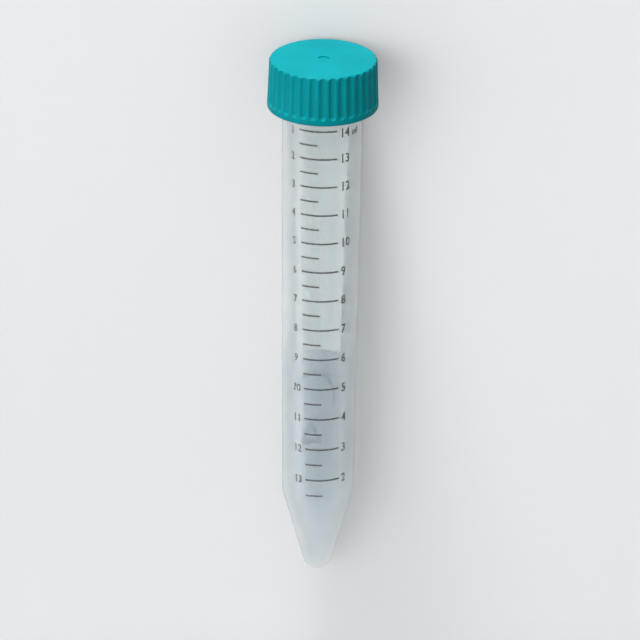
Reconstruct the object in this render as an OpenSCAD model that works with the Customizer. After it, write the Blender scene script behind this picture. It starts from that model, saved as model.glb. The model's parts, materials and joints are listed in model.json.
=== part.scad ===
// Conical screw-cap tube, 15 ml, lying as it comes to rest on its cap's rim and its shoulder.
// Each profile is drawn upright, radius across and height above the tip, and revolved.

/* [Tube body] */
// Length of the tube from its tip to the rim of its mouth
tube_length = 118.4; // [100:0.1:150]
// Outer diameter of the straight stretch below the cap, the stretch that a rack hole holds
body_d = 16.8; // [13:0.1:21]
// How far the outer radius draws in from the straight stretch down to the shoulder
body_draft = 0.6; // [0.2:0.05:1]
// Length of the straight stretch that shows below the cap
straight_length = 15; // [6:0.5:30]
// Height of the shoulder, where the wall turns into the cone, above the tip
shoulder_height = 19.5; // [14:0.5:30]
// Radius of the bend at the shoulder
shoulder_bend_r = 6; // [2:0.5:12]
// Radius of the rounded tip
tip_r = 3.2; // [2.4:0.1:4.5]

/* [Walls] */
// Wall of the neck, beside the mouth
neck_wall = 1.4; // [1:0.05:2]
// Wall at the shoulder
shoulder_wall = 1.35; // [0.9:0.05:2]
// Wall of the rounded tip
tip_wall = 1.3; // [0.9:0.05:1.8]

/* [Neck] */
// How far the neck stands proud of the straight stretch
neck_step = 0.2; // [0.1:0.05:0.6]
// Length of the mouth's straight bore, which the cap's plug seals
mouth_depth = 8; // [6:0.5:12]
// Height of the stop bead that runs round the foot of the neck
bead_height = 1.1; // [0.6:0.1:2]
// How far the stop bead stands out from the neck
bead_reach = 0.95; // [0.4:0.05:1.2]
// Radius that softens both edges of the rim
rim_edge_r = 0.35; // [0.1:0.05:0.45]

/* [Cap] */
// Height of the cap, from the skirt's foot to its flat top
cap_height = 10.4; // [9:0.1:16]
// Thickness of the flat top
cap_top_wall = 1.5; // [1:0.1:3]
// Wall of the skirt at the top, measured through a rib
skirt_wall = 1.3; // [1.1:0.05:2]
// How much wider the skirt's radius is at its foot than at its top
skirt_flare = 0.35; // [0.1:0.05:0.8]
// Height of the plain band round the skirt's foot
band_height = 0.9; // [0.6:0.1:2]
// Radius that rounds the edge of the flat top
top_edge_r = 0.6; // [0.2:0.05:0.8]
// Radius that rounds the skirt's foot
foot_edge_r = 0.25; // [0.1:0.05:0.4]
// Diameter of the moulding dimple in the middle of the top
dimple_d = 2.4; // [1:0.1:5]
// Depth of the moulding dimple
dimple_depth = 0.2; // [0.1:0.05:0.5]

/* [Grip] */
// Number of flutes round the cap
flutes = 36; // [24:1:40]
// Radius of the round cutter that makes a flute
flute_r = 1.1; // [0.8:0.05:1.3]
// Depth of a flute
flute_depth = 0.35; // [0.15:0.05:0.4]

/* [Plug seal] */
// How far the ring plug reaches into the mouth
plug_depth = 4.8; // [3:0.1:5.5]
// Wall of the ring plug
plug_wall = 0.9; // [0.7:0.05:1.4]
// Radius of the lip that seals near the plug's foot
lip_r = 0.55; // [0.45:0.05:0.65]
// How far the plug draws in above its lip
plug_relief = 0.2; // [0.1:0.05:0.3]

/* [Clearances] */
// Gap between the plug's lip and the mouth
plug_clearance = 0.08; // [0.05:0.01:0.2]
// Gap between the rim and the underside of the cap's top
rim_clearance = 0.05; // [0.02:0.01:0.3]
// Room between the neck and the skirt, where the screw threads mesh
thread_room = 1.3; // [1:0.05:2]

/* [Hidden] */
$fn = 96;
edge_steps = 4;

body_r = body_d / 2;
shoulder_r = body_r - body_draft;
neck_r = body_r + neck_step;
mouth_r = neck_r - neck_wall;
bore_shoulder_r = shoulder_r - shoulder_wall;
bore_tip_r = tip_r - tip_wall;
mouth_foot = tube_length - mouth_depth;

cap_under = tube_length + rim_clearance;
cap_top = cap_under + cap_top_wall;
cap_foot = cap_top - cap_height;
skirt_bore_r = neck_r + thread_room;
cap_top_r = skirt_bore_r + skirt_wall;
cap_foot_r = cap_top_r + skirt_flare;
flare_angle = atan2(skirt_flare, cap_height - band_height);

// The neck starts just inside the skirt, so that its step and its bead stay under the cap.
neck_foot = cap_foot + foot_edge_r;
bead_foot = neck_foot + neck_step;
straight_foot = cap_foot - straight_length;

plug_r = mouth_r - plug_clearance;
lip_height = cap_under - plug_depth + lip_r;

// Point where a line from (r, h) touches a ball of radius ball_r that stands on the axis at ball_h
function touch(r, h, ball_r, ball_h) =
    let (turn = atan2(r, h - ball_h) + acos(ball_r / norm([r, h - ball_h])))
    [ball_r * sin(turn), ball_h + ball_r * cos(turn)];

function unit(v) = v / norm(v);

// Bend of radius r in a corner between the lines to a and b: [first end, last end, middle]
function bend(corner, a, b, r) =
    let (to_a = unit(a - corner), to_b = unit(b - corner), half = acos(to_a * to_b) / 2)
    [corner + to_a * r / tan(half), corner + to_b * r / tan(half),
     corner + unit(to_a + to_b) * r / sin(half)];

tip_touch = touch(shoulder_r, shoulder_height, tip_r, tip_r);
shoulder = [shoulder_r, shoulder_height];
straight_start = [body_r, straight_foot];
shoulder_bend = bend(shoulder, tip_touch, straight_start, shoulder_bend_r);

// The lying tube touches the surface with the skirt's foot and the shoulder's bend.
rest_foot = [cap_foot_r - foot_edge_r, cap_foot + foot_edge_r];
rest_across = rest_foot - shoulder_bend[2];
lean = atan2(rest_across.x, rest_across.y)
    + asin((foot_edge_r - shoulder_bend_r) / norm(rest_across));
rest_lift = rest_foot.x * cos(lean) - rest_foot.y * sin(lean) + foot_edge_r;
low_x = tip_r * cos(lean) - tip_r;
high_x = cap_top * cos(lean) + (cap_top_r - top_edge_r) * sin(lean);
// Turn about the axis that takes the revolves' seams off the line on which the tube lies
seam_turn = 85;

// Lays the upright model down along X, cap forward, with its lowest points on the surface
module lay_down() {
    translate([-(low_x + high_x) / 2, 0, rest_lift])
        rotate([0, 90 - lean, 0])
            rotate([0, 0, seam_turn])
                children();
}

// Half profile through corners of the form [r, height, bend radius], where no third number is a
// sharp corner. Only corners that stand outwards take a bend.
module outline(corners) {
    n = len(corners);
    function at(i) = let (c = corners[(i + n) % n]) [c.x, c.y];
    function bent(i) = len(corners[i]) == 3;
    function bend_at(i) = bend(at(i), at(i - 1), at(i + 1), corners[i][2]);
    intersection() {
        union() {
            polygon([for (i = [0 : n - 1]) each bent(i) ? [bend_at(i)[0], bend_at(i)[1]] : [at(i)]]);
            for (i = [0 : n - 1])
                if (bent(i))
                    translate(bend_at(i)[2])
                        circle(corners[i][2]);
        }
        translate([0, -1])
            square([cap_foot_r + 1, cap_top + 2]);
    }
}

// Half profile of a round end of radius r that stands on the axis at height h
module ball_outline(r, h) {
    intersection() {
        translate([0, h])
            circle(r);
        translate([0, h - r])
            square(2 * r);
    }
}

// Corner at (r, height) rounded in short straight steps, which take the flutes' cuts cleanly
function stepped_corner(r, h, bend_r) =
    [for (turn = [0 : 90 / edge_steps : 90])
        [r - bend_r * (1 - cos(turn)), h - bend_r * (1 - sin(turn))]];

module tube_outline() {
    bead_r = neck_r + bead_reach;
    bead_edge_r = bead_height / 3;
    ball_outline(tip_r, tip_r);
    outline([[0, tip_r], tip_touch, [shoulder_r, shoulder_height, shoulder_bend_r],
             straight_start, [body_r, neck_foot], [neck_r, bead_foot],
             [bead_r, bead_foot, bead_edge_r], [bead_r, bead_foot + bead_height, bead_edge_r],
             [neck_r, bead_foot + bead_height], [neck_r, tube_length, rim_edge_r],
             [0, tube_length]]);
}

module bore_outline() {
    ball_outline(bore_tip_r, tip_r);
    outline([[0, tip_r], touch(bore_shoulder_r, shoulder_height, bore_tip_r, tip_r),
             [bore_shoulder_r, shoulder_height], [mouth_r, mouth_foot],
             [mouth_r, tube_length - rim_edge_r], [mouth_r + rim_edge_r, tube_length],
             [mouth_r + rim_edge_r, tube_length + 1], [0, tube_length + 1]]);
}

module tube() {
    color([0.84, 0.88, 0.89, 0.6])
        lay_down()
            rotate_extrude()
                difference() {
                    tube_outline();
                    bore_outline();
                }
}

// Outside of the cap: a flared skirt between a plain band at the foot and a rounded top edge
module cap_outline() {
    outline([[0, cap_foot], [cap_foot_r, cap_foot, foot_edge_r],
             [cap_foot_r, cap_foot + band_height],
             each stepped_corner(cap_top_r, cap_top, top_edge_r), [0, cap_top]]);
}

// Room inside the skirt, with a lead-in at its foot
module skirt_outline() {
    outline([[0, cap_foot - 1], [skirt_bore_r + foot_edge_r, cap_foot - 1],
             [skirt_bore_r + foot_edge_r, cap_foot], [skirt_bore_r, cap_foot + foot_edge_r],
             [skirt_bore_r, cap_under], [0, cap_under]]);
}

// Ring plug: a relieved wall that ends in a round sealing lip
module plug_outline() {
    translate([plug_r - plug_relief - plug_wall, lip_height])
        square([plug_wall, cap_under - lip_height]);
    translate([plug_r - lip_r, lip_height])
        circle(lip_r);
}

// One flute: a round cutter that follows the skirt's flare and ends in a ball above the band
module flute() {
    translate([cap_foot_r - flute_depth + flute_r, 0, cap_foot + band_height])
        rotate([0, -flare_angle, 0])
            translate([0, 0, flute_r]) {
                cylinder(r = flute_r, h = cap_height);
                sphere(flute_r);
            }
}

module cap() {
    color([0, 0.6, 0.65])
        lay_down()
            difference() {
                rotate_extrude() {
                    difference() {
                        cap_outline();
                        skirt_outline();
                    }
                    plug_outline();
                }
                // The flutes start half a pitch round, so that none lies across the revolve's seam.
                for (i = [0.5 : flutes])
                    rotate([0, 0, i * 360 / flutes])
                        flute();
                translate([0, 0, cap_top - dimple_depth])
                    cylinder(d = dimple_d, h = dimple_depth + 1);
            }
}

tube();
cap();
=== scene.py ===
import json
import math

import bmesh
import bpy
from mathutils import Matrix, Vector


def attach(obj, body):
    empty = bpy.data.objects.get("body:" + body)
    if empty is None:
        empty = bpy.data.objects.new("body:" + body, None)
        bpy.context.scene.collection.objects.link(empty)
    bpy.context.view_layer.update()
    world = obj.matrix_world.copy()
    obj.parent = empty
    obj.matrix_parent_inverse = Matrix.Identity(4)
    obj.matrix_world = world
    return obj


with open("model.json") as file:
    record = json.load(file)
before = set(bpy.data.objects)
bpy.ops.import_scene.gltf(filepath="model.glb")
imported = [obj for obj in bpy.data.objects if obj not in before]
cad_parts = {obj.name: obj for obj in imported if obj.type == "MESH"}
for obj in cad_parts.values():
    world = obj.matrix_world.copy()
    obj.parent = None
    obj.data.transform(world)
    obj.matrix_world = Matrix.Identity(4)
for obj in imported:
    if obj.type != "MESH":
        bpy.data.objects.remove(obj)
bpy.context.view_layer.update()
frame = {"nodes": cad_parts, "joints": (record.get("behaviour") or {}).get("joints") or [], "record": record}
print("frame loaded")


# Where things are, taken from the frame

mm = 0.001

# The directions that someone reading the scale sees: along the tube to the cap, right, and up
along = Vector(frame["joints"][0]["axis"]).normalized()
right = along.cross(Vector((0, 0, 1))).normalized()
up = right.cross(along)

holdMount = [mount for mount in frame["record"]["mounts"] if mount["name"] == "body"][0]
axisPoint = Vector(holdMount["pos_m"])


def ringsOf(nodeName):  # height along the axis and radius of each vertex, in mm
    rings = []
    for vertex in frame["nodes"][nodeName].data.vertices:
        away = (vertex.co - axisPoint) / mm
        height = away.dot(along)
        rings.append((height, (away - along * height).length))
    return rings


tubeRings = ringsOf("tube")
tipDrop = min(height for height, radius in tubeRings)
tip = axisPoint + along * tipDrop * mm

# Pieces are modelled in mm around the z axis, tip at the origin and reader at -y, and
# tubePlace then lays them down on the tube
tubePlace = Matrix((right, -up, along)).transposed().to_4x4()
tubePlace.translation = tip
tubePlace = tubePlace @ Matrix.Scale(mm, 4)

straightRadius = holdMount["dims"]["r_mm"]
straightFoot = -tipDrop - holdMount["dims"]["length_mm"] / 2

# The widest ring below the straight stretch lies on the drafted wall
draftRadius, draftHeight = max((radius, height - tipDrop) for height, radius in tubeRings
                               if height - tipDrop < straightFoot - 1)
wallDraft = (straightRadius - draftRadius) / (straightFoot - draftHeight)


def wallRadius(height):
    return straightRadius + min(0, height - straightFoot) * wallDraft


# Materials

noiseLow = 0.3     # noise mostly lies between these two values
noiseHigh = 0.7


def newMaterial(name):
    material = bpy.data.materials.new(name)
    material.use_nodes = True
    return material, material.node_tree.nodes, material.node_tree.links


def addNoise(nodes, links, scale, detail=2.0, stretch=(1, 1, 1)):  # noise that sits on the object
    place = nodes.new("ShaderNodeTexCoord")
    mapping = nodes.new("ShaderNodeMapping")
    mapping.inputs["Scale"].default_value = stretch
    noise = nodes.new("ShaderNodeTexNoise")
    noise.inputs["Scale"].default_value = scale
    noise.inputs["Detail"].default_value = detail
    links.new(place.outputs["Object"], mapping.inputs["Vector"])
    links.new(mapping.outputs["Vector"], noise.inputs["Vector"])
    return noise.outputs["Fac"]


def addRamp(nodes, links, source, stops):  # stops are (position, colour)
    ramp = nodes.new("ShaderNodeValToRGB")
    ramp.color_ramp.elements[0].position, ramp.color_ramp.elements[0].color = stops[0]
    ramp.color_ramp.elements[1].position, ramp.color_ramp.elements[1].color = stops[-1]
    for position, colour in stops[1:-1]:
        ramp.color_ramp.elements.new(position).color = colour
    links.new(source, ramp.inputs["Fac"])
    return ramp.outputs["Color"]


def addRange(nodes, links, source, low, high):  # turns noise into a value from low to high
    remap = nodes.new("ShaderNodeMapRange")
    remap.inputs["From Min"].default_value = noiseLow
    remap.inputs["From Max"].default_value = noiseHigh
    remap.inputs["To Min"].default_value = low
    remap.inputs["To Max"].default_value = high
    links.new(source, remap.inputs["Value"])
    return remap.outputs["Result"]


def addBump(nodes, links, source, strength, depth):
    bump = nodes.new("ShaderNodeBump")
    bump.inputs["Strength"].default_value = strength
    bump.inputs["Distance"].default_value = depth
    links.new(source, bump.inputs["Height"])
    return bump.outputs["Normal"]


clearPlastic = {
    "milky": (0.37, 0.465, 0.505, 1),
    "clear": (0.45, 0.54, 0.575, 1),
    "veil": 0.29,             # share of the light that each face of the wall catches
    "transmission": 0.48,     # share of that which it bends and blurs
    "ior": 1.49,
    "hazeDepth": 1.5 * mm,    # how far light spreads inside the wall
    "smooth": 0.285,
    "dull": 0.33,
    "skin": 0.4,              # how glossy the face itself is, over the haze
    "skinRough": 0.14,
    "cloudScale": 60,
    "cloudDetail": 3,
    "flowScale": 500,
    "flowDetail": 2,
    "flowStretch": (0.12, 1, 1),   # long streaks along the tube
    "flowDepth": 0.03 * mm,
    "flowStrength": 0.03,
}


def clearPlasticMaterial(p):
    material, nodes, links = newMaterial("naturalPlastic")
    shader = nodes["Principled BSDF"]
    cloud = addNoise(nodes, links, p["cloudScale"], p["cloudDetail"])
    flow = addNoise(nodes, links, p["flowScale"], p["flowDetail"], p["flowStretch"])
    tones = [(noiseLow, p["milky"]), (noiseHigh, p["clear"])]
    links.new(addRamp(nodes, links, cloud, tones), shader.inputs["Base Color"])
    links.new(addRange(nodes, links, flow, p["smooth"], p["dull"]), shader.inputs["Roughness"])
    links.new(addBump(nodes, links, flow, p["flowStrength"], p["flowDepth"]),
              shader.inputs["Normal"])
    inside = nodes.new("ShaderNodeNewGeometry").outputs["Backfacing"]
    clearness = nodes.new("ShaderNodeMapRange")   # a ray leaving the wall isn't hazed again
    clearness.inputs["To Min"].default_value = p["transmission"]
    clearness.inputs["To Max"].default_value = 1
    links.new(inside, clearness.inputs["Value"])
    links.new(clearness.outputs["Result"], shader.inputs["Transmission Weight"])
    shader.inputs["Alpha"].default_value = p["veil"]
    shader.inputs["Coat Weight"].default_value = p["skin"]
    shader.inputs["Coat Roughness"].default_value = p["skinRough"]
    shader.inputs["IOR"].default_value = p["ior"]
    shader.inputs["Subsurface Weight"].default_value = 1
    shader.inputs["Subsurface Radius"].default_value = (1, 1, 1)
    shader.inputs["Subsurface Scale"].default_value = p["hazeDepth"]
    return material


capPlastic = {
    "deep": (0.0, 0.115, 0.132, 1),
    "light": (0.0, 0.138, 0.155, 1),
    "shine": 0.03,
    "smooth": 0.42,
    "dull": 0.52,
    "cloudScale": 120,
    "cloudDetail": 4,
    "grainScale": 4200,
    "grainDetail": 3,
    "grainDepth": 0.012 * mm,
    "grainStrength": 0.25,
}


def capPlasticMaterial(p):
    material, nodes, links = newMaterial("turquoisePlastic")
    shader = nodes["Principled BSDF"]
    cloud = addNoise(nodes, links, p["cloudScale"], p["cloudDetail"])
    grain = addNoise(nodes, links, p["grainScale"], p["grainDetail"])
    tones = [(noiseLow, p["deep"]), (noiseHigh, p["light"])]
    links.new(addRamp(nodes, links, cloud, tones), shader.inputs["Base Color"])
    links.new(addRange(nodes, links, grain, p["smooth"], p["dull"]), shader.inputs["Roughness"])
    links.new(addBump(nodes, links, grain, p["grainStrength"], p["grainDepth"]),
              shader.inputs["Normal"])
    shader.inputs["Specular IOR Level"].default_value = p["shine"]
    return material


scaleInk = {
    "thin": (0.085, 0.092, 0.10, 1),
    "full": (0.028, 0.030, 0.034, 1),
    "roughness": (0.45, 0.6),
    "grainScale": 2600,
    "grainDetail": 3,
    "thinAt": 0.25,         # noise at which the ink is thin, and full
    "fullAt": 0.6,
}
patchInk = {
    "thin": (0.94, 0.89, 0.85, 1),
    "full": (0.98, 0.93, 0.88, 1),
    "roughness": (0.6, 0.75),
    "grainScale": 900,
    "grainDetail": 3,
    "thinAt": 0.25,
    "fullAt": 0.6,
}


def inkMaterial(name, p):
    material, nodes, links = newMaterial(name)
    shader = nodes["Principled BSDF"]
    grain = addNoise(nodes, links, p["grainScale"], p["grainDetail"])
    tones = [(p["thinAt"], p["thin"]), (p["fullAt"], p["full"])]
    links.new(addRamp(nodes, links, grain, tones), shader.inputs["Base Color"])
    links.new(addRange(nodes, links, grain, *p["roughness"]), shader.inputs["Roughness"])
    return material


tubeFinish = clearPlasticMaterial(clearPlastic)
capFinish = capPlasticMaterial(capPlastic)
scaleFinish = inkMaterial("scaleInk", scaleInk)
patchFinish = inkMaterial("patchInk", patchInk)

for nodeName, finish, slotName in [("tube", tubeFinish, "tube_plastic"),
                                   ("cap", capFinish, "cap_plastic")]:
    node = frame["nodes"][nodeName]
    node.material_slots[0].material = finish
print("materials made")


# A piece is made from a bmesh in the upright tube's mm
def finishPiece(name, bm, material, body):
    bm.transform(tubePlace)
    data = bpy.data.meshes.new(name)
    bm.to_mesh(data)
    bm.free()
    data.materials.append(material)
    piece = bpy.data.objects.new(name, data)
    bpy.context.scene.collection.objects.link(piece)
    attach(piece, body)


# Printing is drawn flat, x across and y the height above the tip, then wrapped on the wall

printing = {
    "gap": 0.008,         # ink's underside above the wall
    "thickness": 0.02,
    "strip": 0.45,        # widest flat strip round the wall
    "merge": 0.0005,      # points closer than this are one
    "sliver": 0.002,      # edges shorter than this go
    "digitShare": 0.729,  # how high the built-in font's digits are for its size
    "curveSteps": 3,
    "skewMiddle": 68.3,   # the printing turns a little round the tube, from this height
    "skew": math.radians(0.172),
}


def addBar(bm, left, farRight, low, high):
    place = Matrix.Translation(((left + farRight) / 2, (low + high) / 2, 0))
    size = Matrix.Diagonal((farRight - left, high - low, 1, 1))
    bmesh.ops.create_grid(bm, x_segments=1, y_segments=1, size=0.5, matrix=place @ size)


def addWords(bm, words, x, y, digitHeight, narrow, bolder, align, p=printing):
    curve = bpy.data.curves.new("words", "FONT")
    curve.body = words
    curve.size = digitHeight / p["digitShare"]
    curve.align_x = align
    curve.resolution_u = p["curveSteps"]
    curve.offset = bolder
    holder = bpy.data.objects.new("words", curve)
    flat = bpy.data.meshes.new_from_object(holder)
    place = Matrix.Translation((x, y - digitHeight / 2, 0))
    flat.transform(place @ Matrix.Diagonal((narrow, 1, 1, 1)))
    bm.from_mesh(flat)
    bpy.data.objects.remove(holder)
    bpy.data.curves.remove(curve)
    bpy.data.meshes.remove(flat)


def cutAt(bm, place, direction, p=printing):
    bmesh.ops.bisect_plane(bm, geom=bm.verts[:] + bm.edges[:] + bm.faces[:], dist=p["merge"],
                           plane_co=place, plane_no=direction)


def printOnWall(name, bm, material, turn=0, p=printing):
    bmesh.ops.remove_doubles(bm, verts=bm.verts, dist=p["merge"])
    across = [vert.co.x for vert in bm.verts]
    for cut in range(math.ceil(min(across) / p["strip"]), math.ceil(max(across) / p["strip"])):
        cutAt(bm, (cut * p["strip"], 0, 0), (1, 0, 0))
    cutAt(bm, (0, straightFoot, 0), (0, 1, 0))
    bmesh.ops.dissolve_degenerate(bm, edges=bm.edges, dist=p["sliver"])
    bmesh.ops.translate(bm, verts=bm.verts, vec=(0, 0, p["gap"] + p["thickness"]))
    bm.normal_update()
    bmesh.ops.solidify(bm, geom=bm.faces[:], thickness=p["thickness"])
    for vert in bm.verts:
        x, height, lift = vert.co
        radius = wallRadius(height)
        angle = turn + x / radius + (p["skewMiddle"] - height) * p["skew"]
        radius += lift
        vert.co = (radius * math.sin(angle), -radius * math.cos(angle), height)
    finishPiece(name, bm, material, "tube")


scale = {
    "lowest": 1.5,          # ml at the lowest mark
    "highest": 14,
    "lowestHeight": 21.6,   # mm above the tip
    "lowestBore": 12.94,    # inner diameter there, mm
    "boreGrowth": 0.0165,   # how fast the bore widens above it
    "halfTurn": math.radians(27.5),
    "shortEnd": math.radians(-0.5),
    "lineWidth": 0.36,
    "numberGap": math.radians(4.5),
    "numberHeight": 2.05,
    "numberNarrow": 0.86,
    "fillTurn": math.radians(-40),
    "fillHeight": 1.75,
    "fillNarrow": 0.80,
    "unitHeight": 1.45,
    "unitShift": 1.5,       # from where its number starts, in number heights
    "topDrop": 0.5,         # the top mark's numbers stand lower, clear of the cap
    "bolder": 0.04,         # how far the strokes of the font grow
}


def markHeight(ml, p=scale):  # where a bore that widens evenly holds that volume
    volume = (ml - p["lowest"]) * 1000   # cubic mm
    bore = (p["lowestBore"] ** 3 + 12 * p["boreGrowth"] * volume / math.pi) ** (1 / 3)
    return p["lowestHeight"] + (bore - p["lowestBore"]) / p["boreGrowth"]


def numberHeight(ml, p=scale):  # of the middle of a mark's numbers
    return markHeight(ml) - (p["topDrop"] if ml == p["highest"] else 0)


def makeScaleLines(p):
    bm = bmesh.new()
    for half in range(round(p["lowest"] * 2), p["highest"] * 2 + 1):
        height = markHeight(half / 2)
        radius = wallRadius(height)
        end = p["halfTurn"] if half % 2 == 0 else p["shortEnd"]
        addBar(bm, -p["halfTurn"] * radius, end * radius,
               height - p["lineWidth"] / 2, height + p["lineWidth"] / 2)
    printOnWall("scaleLines", bm, scaleFinish)


def makeReadingNumbers(p):
    bm = bmesh.new()
    for ml in range(2, p["highest"] + 1):
        height = numberHeight(ml)
        x = (p["halfTurn"] + p["numberGap"]) * wallRadius(height)
        addWords(bm, str(ml), x, height, p["numberHeight"], p["numberNarrow"], p["bolder"], "LEFT")
    printOnWall("readingNumbers", bm, scaleFinish)


def makeUnit(p):
    bm = bmesh.new()
    height = numberHeight(p["highest"])
    x = (p["halfTurn"] + p["numberGap"]) * wallRadius(height)
    x += p["unitShift"] * p["numberHeight"]
    addWords(bm, "ml", x, height - (p["numberHeight"] - p["unitHeight"]) / 2,
             p["unitHeight"], p["numberNarrow"], p["bolder"], "LEFT")
    printOnWall("unit", bm, scaleFinish)


def makeFillNumbers(p):  # these count down the tube, 1 beside the highest mark
    bm = bmesh.new()
    for ml in range(2, p["highest"] + 1):
        height = numberHeight(ml)
        addWords(bm, str(p["highest"] + 1 - ml), p["fillTurn"] * wallRadius(height), height,
                 p["fillHeight"], p["fillNarrow"], p["bolder"], "CENTER")
    printOnWall("fillNumbers", bm, scaleFinish)


makeScaleLines(scale)
makeReadingNumbers(scale)
makeUnit(scale)
makeFillNumbers(scale)
print("scale printed")


back = {
    "turn": math.radians(186),     # round the tube from the scale
    "patchHalfTurn": math.radians(41),
    "patchLow": 49,
    "patchHigh": 105.5,
    "patchCorner": 1.75,
    "patchSegments": 6,
    "arrowRadius": 5,
    "arrowMiddle": 38.2,
    "arrowStart": math.radians(202),
    "arrowEnd": math.radians(18),
    "arrowWidth": 0.5,
    "arrowHead": 1.0,
    "arrowSteps": 24,
    "signLow": 26.4,
    "signHigh": 31.7,
    "signWidth": 5.1,
    "signLine": 0.5,
    "signCorner": 0.5,
    "signSegments": 3,
}


def makeWritingPatch(p):
    bm = bmesh.new()
    half = p["patchHalfTurn"] * wallRadius(p["patchHigh"])
    addBar(bm, -half, half, p["patchLow"], p["patchHigh"])
    middleHeight = (p["patchLow"] + p["patchHigh"]) / 2
    corners = [vert for vert in bm.verts if vert.co.y > middleHeight]
    bmesh.ops.bevel(bm, geom=corners, offset=p["patchCorner"], affect="VERTICES",
                    segments=p["patchSegments"], profile=0.5, material=-1)
    printOnWall("writingPatch", bm, patchFinish, p["turn"])


def makeArrow(p):  # a bent arrow, its head to the right
    bm = bmesh.new()
    stroke = [bm.verts.new((p["arrowRadius"] + side * p["arrowWidth"] / 2, 0, 0))
              for side in (-1, 1)]
    edge = bm.edges.new(stroke)
    bmesh.ops.rotate(bm, verts=stroke, matrix=Matrix.Rotation(p["arrowEnd"], 3, "Z"))
    bmesh.ops.spin(bm, geom=stroke + [edge], cent=(0, 0, 0), axis=(0, 0, 1),
                   steps=p["arrowSteps"], angle=p["arrowStart"] - p["arrowEnd"])
    tipPlace = Matrix.Rotation(p["arrowEnd"], 4, "Z") @ Matrix.Translation((p["arrowRadius"], 0, 0))
    turnDown = Matrix.Rotation(math.radians(-90), 4, "Z")
    bmesh.ops.create_circle(bm, cap_ends=True, segments=3, radius=p["arrowHead"],
                            matrix=tipPlace @ turnDown)
    bmesh.ops.translate(bm, verts=bm.verts, vec=(0, p["arrowMiddle"], 0))
    for face in bm.faces:
        face.normal_update()
        if face.normal.z < 0:
            face.normal_flip()
    printOnWall("curvedArrow", bm, scaleFinish, p["turn"])


def makeSign(p):  # a plain outlined triangle
    bm = bmesh.new()
    bmesh.ops.create_circle(bm, cap_ends=True, segments=3, radius=1)
    lowest = min(vert.co.y for vert in bm.verts)
    tall = max(vert.co.y for vert in bm.verts) - lowest
    wide = 2 * max(vert.co.x for vert in bm.verts)
    bmesh.ops.translate(bm, verts=bm.verts, vec=(0, -lowest, 0))
    bmesh.ops.scale(bm, verts=bm.verts,
                    vec=(p["signWidth"] / wide, (p["signHigh"] - p["signLow"]) / tall, 1))
    bmesh.ops.translate(bm, verts=bm.verts, vec=(0, p["signLow"], 0))
    bmesh.ops.bevel(bm, geom=bm.verts[:], offset=p["signCorner"], affect="VERTICES",
                    segments=p["signSegments"], profile=0.5, material=-1)
    middle = bm.faces[:]
    bmesh.ops.inset_region(bm, faces=middle, thickness=p["signLine"], use_boundary=True,
                           use_even_offset=True)
    bmesh.ops.delete(bm, geom=middle, context="FACES")
    printOnWall("triangleSign", bm, scaleFinish, p["turn"])


makeWritingPatch(back)
makeArrow(back)
makeSign(back)
print("back printed")


# Screw threads under the cap, right-handed and a little short, so that the cap can slide off

thread = {
    "pitch": 3.0,
    "stepsPerTurn": 72,
    "fade": math.radians(50),   # how far each end takes to rise to full height
    "endHeight": 0.03,          # how far along that rise an end starts
    "endWidth": 0.4,            # share of its width that a thread has there
    "sharp": math.radians(30),  # edges that bend more than this stay crisp
}
neckThread = {
    "foot": 112.3, "turns": 1.5, "start": 0,
    "root": 8.5, "crest": 9.2, "rootHalf": 0.62, "crestHalf": 0.26,
}
capThread = {
    "foot": 113.0, "turns": 1.3, "start": math.radians(20),
    "root": 9.98, "crest": 9.3, "rootHalf": 0.62, "crestHalf": 0.26,
}


def makeThread(name, p, material, body, t=thread):
    bm = bmesh.new()
    section = [bm.verts.new((radius, 0, p["foot"] + lift)) for radius, lift in
               [(p["root"], -p["rootHalf"]), (p["crest"], -p["crestHalf"]),
                (p["crest"], p["crestHalf"]), (p["root"], p["rootHalf"])]]
    face = bm.faces.new(section)
    steps = round(p["turns"] * t["stepsPerTurn"])
    bmesh.ops.spin(bm, geom=section + face.edges[:] + [face], cent=(0, 0, 0), axis=(0, 0, 1),
                   angle=math.tau * p["turns"], dvec=(0, 0, t["pitch"] / t["stepsPerTurn"]),
                   steps=steps)
    for vert in bm.verts:
        turn = math.atan2(vert.co.y, vert.co.x) / math.tau
        turn += round((vert.co.z - p["foot"]) / t["pitch"] - turn)
        rise = min(turn, p["turns"] - turn) * math.tau / t["fade"]
        rise = math.sin(max(t["endHeight"], min(1, rise)) * math.pi / 2)
        middle = p["foot"] + turn * t["pitch"]
        radius = vert.co.xy.length
        squeeze = (p["root"] + (radius - p["root"]) * rise) / radius
        width = t["endWidth"] + (1 - t["endWidth"]) * rise
        vert.co = (vert.co.x * squeeze, vert.co.y * squeeze,
                   middle + (vert.co.z - middle) * width)
    bmesh.ops.rotate(bm, verts=bm.verts, matrix=Matrix.Rotation(p["start"], 3, "Z"))
    bmesh.ops.recalc_face_normals(bm, faces=bm.faces)
    for flank in bm.faces:
        flank.smooth = True
    for edge in bm.edges:
        edge.smooth = edge.calc_face_angle(math.pi) < t["sharp"]
    finishPiece(name, bm, material, body)


makeThread("neckThread", neckThread, tubeFinish, "tube")
makeThread("capThread", capThread, capFinish, "cap")
print("threads cut")


# Floor, light and camera

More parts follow.
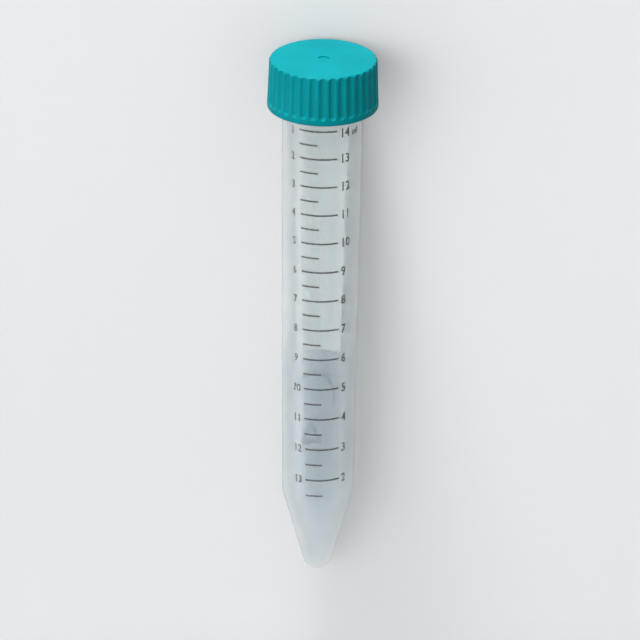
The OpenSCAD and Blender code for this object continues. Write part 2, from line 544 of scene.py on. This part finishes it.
studio = {
    "floorRadius": 6.0,
    "floorSides": 64,
    "floorTones": [(noiseLow, (0.40, 0.405, 0.41, 1)), (noiseHigh, (0.425, 0.43, 0.435, 1))],
    "floorNoise": 3,
    "floorRoughness": 0.75,
    "skyLow": (0.62, 0.64, 0.66, 1),
    "skyHigh": (1, 1, 1, 1),
    "skyFull": 0.7,          # height, from 0 to 1, at which the sky is brightest
    "skyStrength": 1.0,
    # light: (along the tube, to the right, up) from the middle in m, size in m, power in W, spread
    "key": ((0.60, -0.95, 1.45), (1.2, 1.2), 24, math.radians(180)),
    "low": ((2.0, -0.3, 0.14), (0.6, 0.2), 3.6, math.radians(30)),
    "fill": ((-0.22, -1.45, 0.66), (1.3, 2.2), 6, math.radians(120)),
}
camera = {
    "height": 60.0 * mm,     # of the point it looks at, above the tip
    "distance": 0.828,       # m
    "rise": math.radians(26),
    "roll": math.radians(0.74),
    "lens": 219,             # mm
}

middle = tip + along * camera["height"]


def makeFloor(p):
    bm = bmesh.new()
    bmesh.ops.create_circle(bm, cap_ends=True, segments=p["floorSides"],
                            radius=p["floorRadius"])
    data = bpy.data.meshes.new("floor")
    bm.to_mesh(data)
    bm.free()
    material, nodes, links = newMaterial("paleFloor")
    shader = nodes["Principled BSDF"]
    cloud = addNoise(nodes, links, p["floorNoise"])
    links.new(addRamp(nodes, links, cloud, p["floorTones"]), shader.inputs["Base Color"])
    shader.inputs["Roughness"].default_value = p["floorRoughness"]
    data.materials.append(material)
    floor = bpy.data.objects.new("floor", data)
    bpy.context.scene.collection.objects.link(floor)


def makeSky(p):
    world = bpy.data.worlds.new("studio")
    bpy.context.scene.world = world
    world.use_nodes = True
    nodes, links = world.node_tree.nodes, world.node_tree.links
    place = nodes.new("ShaderNodeTexCoord")
    split = nodes.new("ShaderNodeSeparateXYZ")
    links.new(place.outputs["Generated"], split.inputs["Vector"])
    tones = [(0, p["skyLow"]), (p["skyFull"], p["skyHigh"])]
    links.new(addRamp(nodes, links, split.outputs["Z"], tones), nodes["Background"].inputs["Color"])
    nodes["Background"].inputs["Strength"].default_value = p["skyStrength"]


def makeLight(name, place, size, power, spread):
    lamp = bpy.data.lights.new(name, "AREA")
    lamp.shape = "RECTANGLE"
    lamp.size, lamp.size_y = size
    lamp.energy = power
    lamp.spread = spread
    light = bpy.data.objects.new(name, lamp)
    light.location = middle + along * place[0] + right * place[1] + up * place[2]
    light.rotation_euler = (middle - light.location).to_track_quat("-Z", "Y").to_euler()
    bpy.context.scene.collection.objects.link(light)


def makeCamera(p):
    data = bpy.data.cameras.new("camera")
    data.lens = p["lens"]
    eye = bpy.data.objects.new("camera", data)
    outward = up * math.cos(p["rise"]) + along * math.sin(p["rise"])
    side = along.cross(outward).normalized()
    turned = Matrix((side, outward.cross(side), outward)).transposed()
    eye.matrix_world = (Matrix.Translation(middle + outward * p["distance"]) @ turned.to_4x4()
                        @ Matrix.Rotation(p["roll"], 4, "Z"))
    bpy.context.scene.collection.objects.link(eye)
    bpy.context.scene.camera = eye


makeFloor(studio)
makeSky(studio)
makeLight("keyLight", *studio["key"])
makeLight("lowLight", *studio["low"])
makeLight("fillLight", *studio["fill"])
makeCamera(camera)
bpy.context.scene.view_settings.view_transform = "Standard"
print("studio set")
